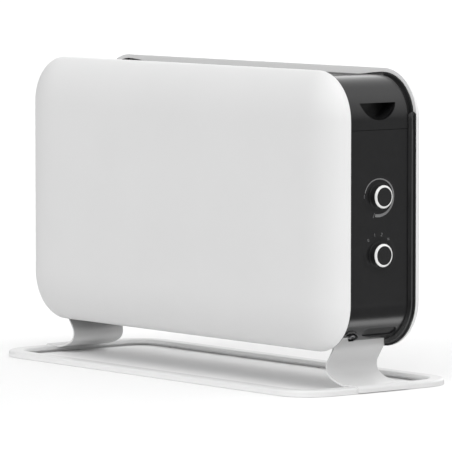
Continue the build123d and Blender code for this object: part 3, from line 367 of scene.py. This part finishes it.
zero = stroke(oval(1.15, 1.85), 0.75, close=True)
one = stroke([(-0.7, 1.35), (0.15, 2.1), (0.15, -2.1)], 0.75)
two = stroke(oval(1.1, 1.05, 9, 165, -35, 0.0, 1.05) + [(-1.15, -2.0), (1.3, -2.0)], 0.72)
blades = []
for k in range(4):
    a = math.radians(90 * k)
    shape = [(0.28, 0.0), (0.95, 0.62), (1.75, 0.78), (2.35, 0.15), (2.2, -0.35), (1.4, -0.35)]
    blades.append([(u * math.cos(a) - v * math.sin(a), u * math.sin(a) + v * math.cos(a)) for u, v in shape])
blades.append(oval(0.55, 0.55, 12))
ink = print_ink("mark_ink", (0.150, 0.150, 0.152))
for name, cy, cz, turn, loops in (
        ("mark_0", -20.6, 21.8, 34, zero), ("mark_1", -8.6, 28.6, 10, one),
        ("mark_2", 4.4, 29.0, -10, two), ("mark_fan", 17.1, 22.0, -38, blades)):
    bm = bmesh.new()
    outline_ink(bm, "selector", cy, cz, turn, loops)
    finish_mesh(bm, name, ink)

# ------------------------------------------------------------------ studio
W, F = 452.0, 4495.86799929867
AZ, PITCH = 0.8944885269730973, 0.07987547084031858
back = Vector((math.sin(AZ) * math.cos(PITCH), -math.cos(AZ) * math.cos(PITCH), math.sin(PITCH)))
right = Vector((math.cos(AZ), math.sin(AZ), 0.0))
up = back.cross(right)
eye = back * 6.652134042544114 + right * 0.008311466759464068 + up * -0.04278792092541963 + Vector((0, 0, BODY_Z))
cam_data = bpy.data.cameras.new("camera")
cam_data.sensor_fit = "HORIZONTAL"
cam_data.sensor_width = 36.0
cam_data.lens = 36.0 * F / W
cam_data.clip_start, cam_data.clip_end = 0.1, 200.0
cam = bpy.data.objects.new("camera", cam_data)
scene.collection.objects.link(cam)
cam.matrix_world = Matrix.Translation(eye) @ Matrix((right, up, back)).transposed().to_4x4()
scene.camera = cam
scene.view_settings.view_transform = "Standard"
scene.view_settings.look = "None"
scene.view_settings.exposure = 0.0
scene.view_settings.gamma = 1.0

world = bpy.data.worlds.new("studio")
scene.world = world
world.use_nodes = True
wn = world.node_tree
wn.nodes.clear()
w_out = wn.nodes.new("ShaderNodeOutputWorld")
w_bg = wn.nodes.new("ShaderNodeBackground")
w_tc = wn.nodes.new("ShaderNodeTexCoord")


def w_math(op, a, b=None, clamp=False):
    n = wn.nodes.new("ShaderNodeMath")
    n.operation = op
    n.use_clamp = clamp
    for k, v in enumerate((a, b)):
        if v is None:
            continue
        if isinstance(v, (int, float)):
            n.inputs[k].default_value = v
        else:
            wn.links.new(v, n.inputs[k])
    return n.outputs[0]


def w_dot(direction):
    n = wn.nodes.new("ShaderNodeVectorMath")
    n.operation = "DOT_PRODUCT"
    n.inputs[1].default_value = Vector(direction).normalized()
    wn.links.new(w_tc.outputs["Generated"], n.inputs[0])
    return n.outputs["Value"]


# soft tent: broad lights by azimuth, height, sharpness and strength, above the floor line and below it
UPPER = ((0, 90, 8, 0.440), (0, 90, 40, 0.235), (0, 52, 10, 1.221), (60, 52, 10, 0.996), (120, 52, 10, 0.366),
         (240, 52, 10, 0.228), (300, 52, 10, 2.933), (0, 17, 16, 0.899), (36, 17, 16, 0.547), (72, 17, 16, 2.139),
         (108, 17, 16, 3.825), (144, 17, 16, 1.463), (252, 17, 16, 3.418), (288, 17, 16, 2.003),
         (324, 17, 16, 0.140))
EVEN = 0.116
UNDER = ((0, -90, 8, 0.299), (0, -52, 10, 1.345), (180, -52, 10, 0.569), (240, -52, 10, 0.453),
         (300, -52, 10, 1.129), (0, -15, 8, 1.627), (180, -15, 8, 1.237))
# bright band low on the right hand, strength by depression in degrees
BAND_AZ = 40
BAND = ((0, 0.0), (5, 0.127), (10, 0.269), (15, 0.0), (36, 0.0), (40, 7.488), (44, 8.723), (50, 1.258),
        (60, 1.574), (75, 0.0), (90, 0.0))


def w_lobes(lobes):
    total = None
    for az, el, sharp, strength in lobes:
        a, e = math.radians(az), math.radians(el)
        facing = w_dot((math.cos(e) * math.cos(a), math.cos(e) * math.sin(a), math.sin(e)))
        lobe = w_math("MULTIPLY", w_math("POWER", w_math("MAXIMUM", facing, 0.0), float(sharp)), strength)
        total = lobe if total is None else w_math("ADD", total, lobe)
    return total


height = w_dot((0, 0, 1))
depths = [(math.sin(math.radians(d)), v) for d, v in BAND]
band = w_math("MULTIPLY", height, 0.0)
for (d0, v0), (d1, v1) in zip(depths, depths[1:]):
    # each stretch adds its own rise along the way down
    part = w_math("DIVIDE", w_math("SUBTRACT", w_math("MULTIPLY", height, -1.0), d0), d1 - d0, clamp=True)
    band = w_math("ADD", band, w_math("MULTIPLY", part, v1 - v0))
band = w_math("ADD", band, BAND[0][1])
side = w_dot((math.cos(math.radians(BAND_AZ)), math.sin(math.radians(BAND_AZ)), 0.0))
band = w_math("MULTIPLY", band, w_math("POWER", w_math("MAXIMUM", side, 0.0), 2.0))
above = w_math("GREATER_THAN", height, 0.0)
below = w_math("SUBTRACT", 1.0, above)
strength = w_math("ADD", w_math("MULTIPLY", w_math("ADD", w_lobes(UPPER), EVEN), above),
                  w_math("MULTIPLY", w_math("ADD", w_lobes(UNDER), band), below))
wn.links.new(strength, w_bg.inputs["Strength"])
wn.links.new(w_bg.outputs[0], w_out.inputs[0])

# floor: pale paper, a near sheet under the heater and a far one round it, whose bounce is part of the tent
fm = Mat("floor_paper", Roughness=1.0, Specular_IOR_Level=0.0)
fm.colour(fm.ramp(fm.noise(3.0, 2.0, 0.5), ((0.3, (0.945, 0.945, 0.945)), (0.7, (0.955, 0.955, 0.955)))))
NEAR = (0.40, 0.19)


def sheet(name, inner, outer, n=96):
    bm = bmesh.new()
    # an oval squared up like the floor ring, so that the whole ring stands on the near sheet
    turn = [(math.cos(math.tau * k / n), math.sin(math.tau * k / n)) for k in range(n)]
    turn = [(math.copysign(abs(c) ** 0.4, c), math.copysign(abs(s) ** 0.4, s)) for c, s in turn]
    rim = [bm.verts.new((outer[0] * c, outer[1] * s, 0)) for c, s in turn]
    if inner:
        hole = [bm.verts.new((inner[0] * c, inner[1] * s, 0)) for c, s in turn]
        for k in range(n):
            bm.faces.new((hole[k], rim[k], rim[(k + 1) % n], hole[(k + 1) % n]))
    else:
        bm.faces.new(rim)
    me = bpy.data.meshes.new(name)
    bm.to_mesh(me)
    bm.free()
    me.materials.append(fm.mat)
    obj = bpy.data.objects.new(name, me)
    scene.collection.objects.link(obj)
    obj.visible_glossy = False
    return obj


sheet("floor_near", None, NEAR)
far = sheet("floor_far", NEAR, (90.0, 90.0))
far.visible_diffuse = False
far.visible_shadow = False
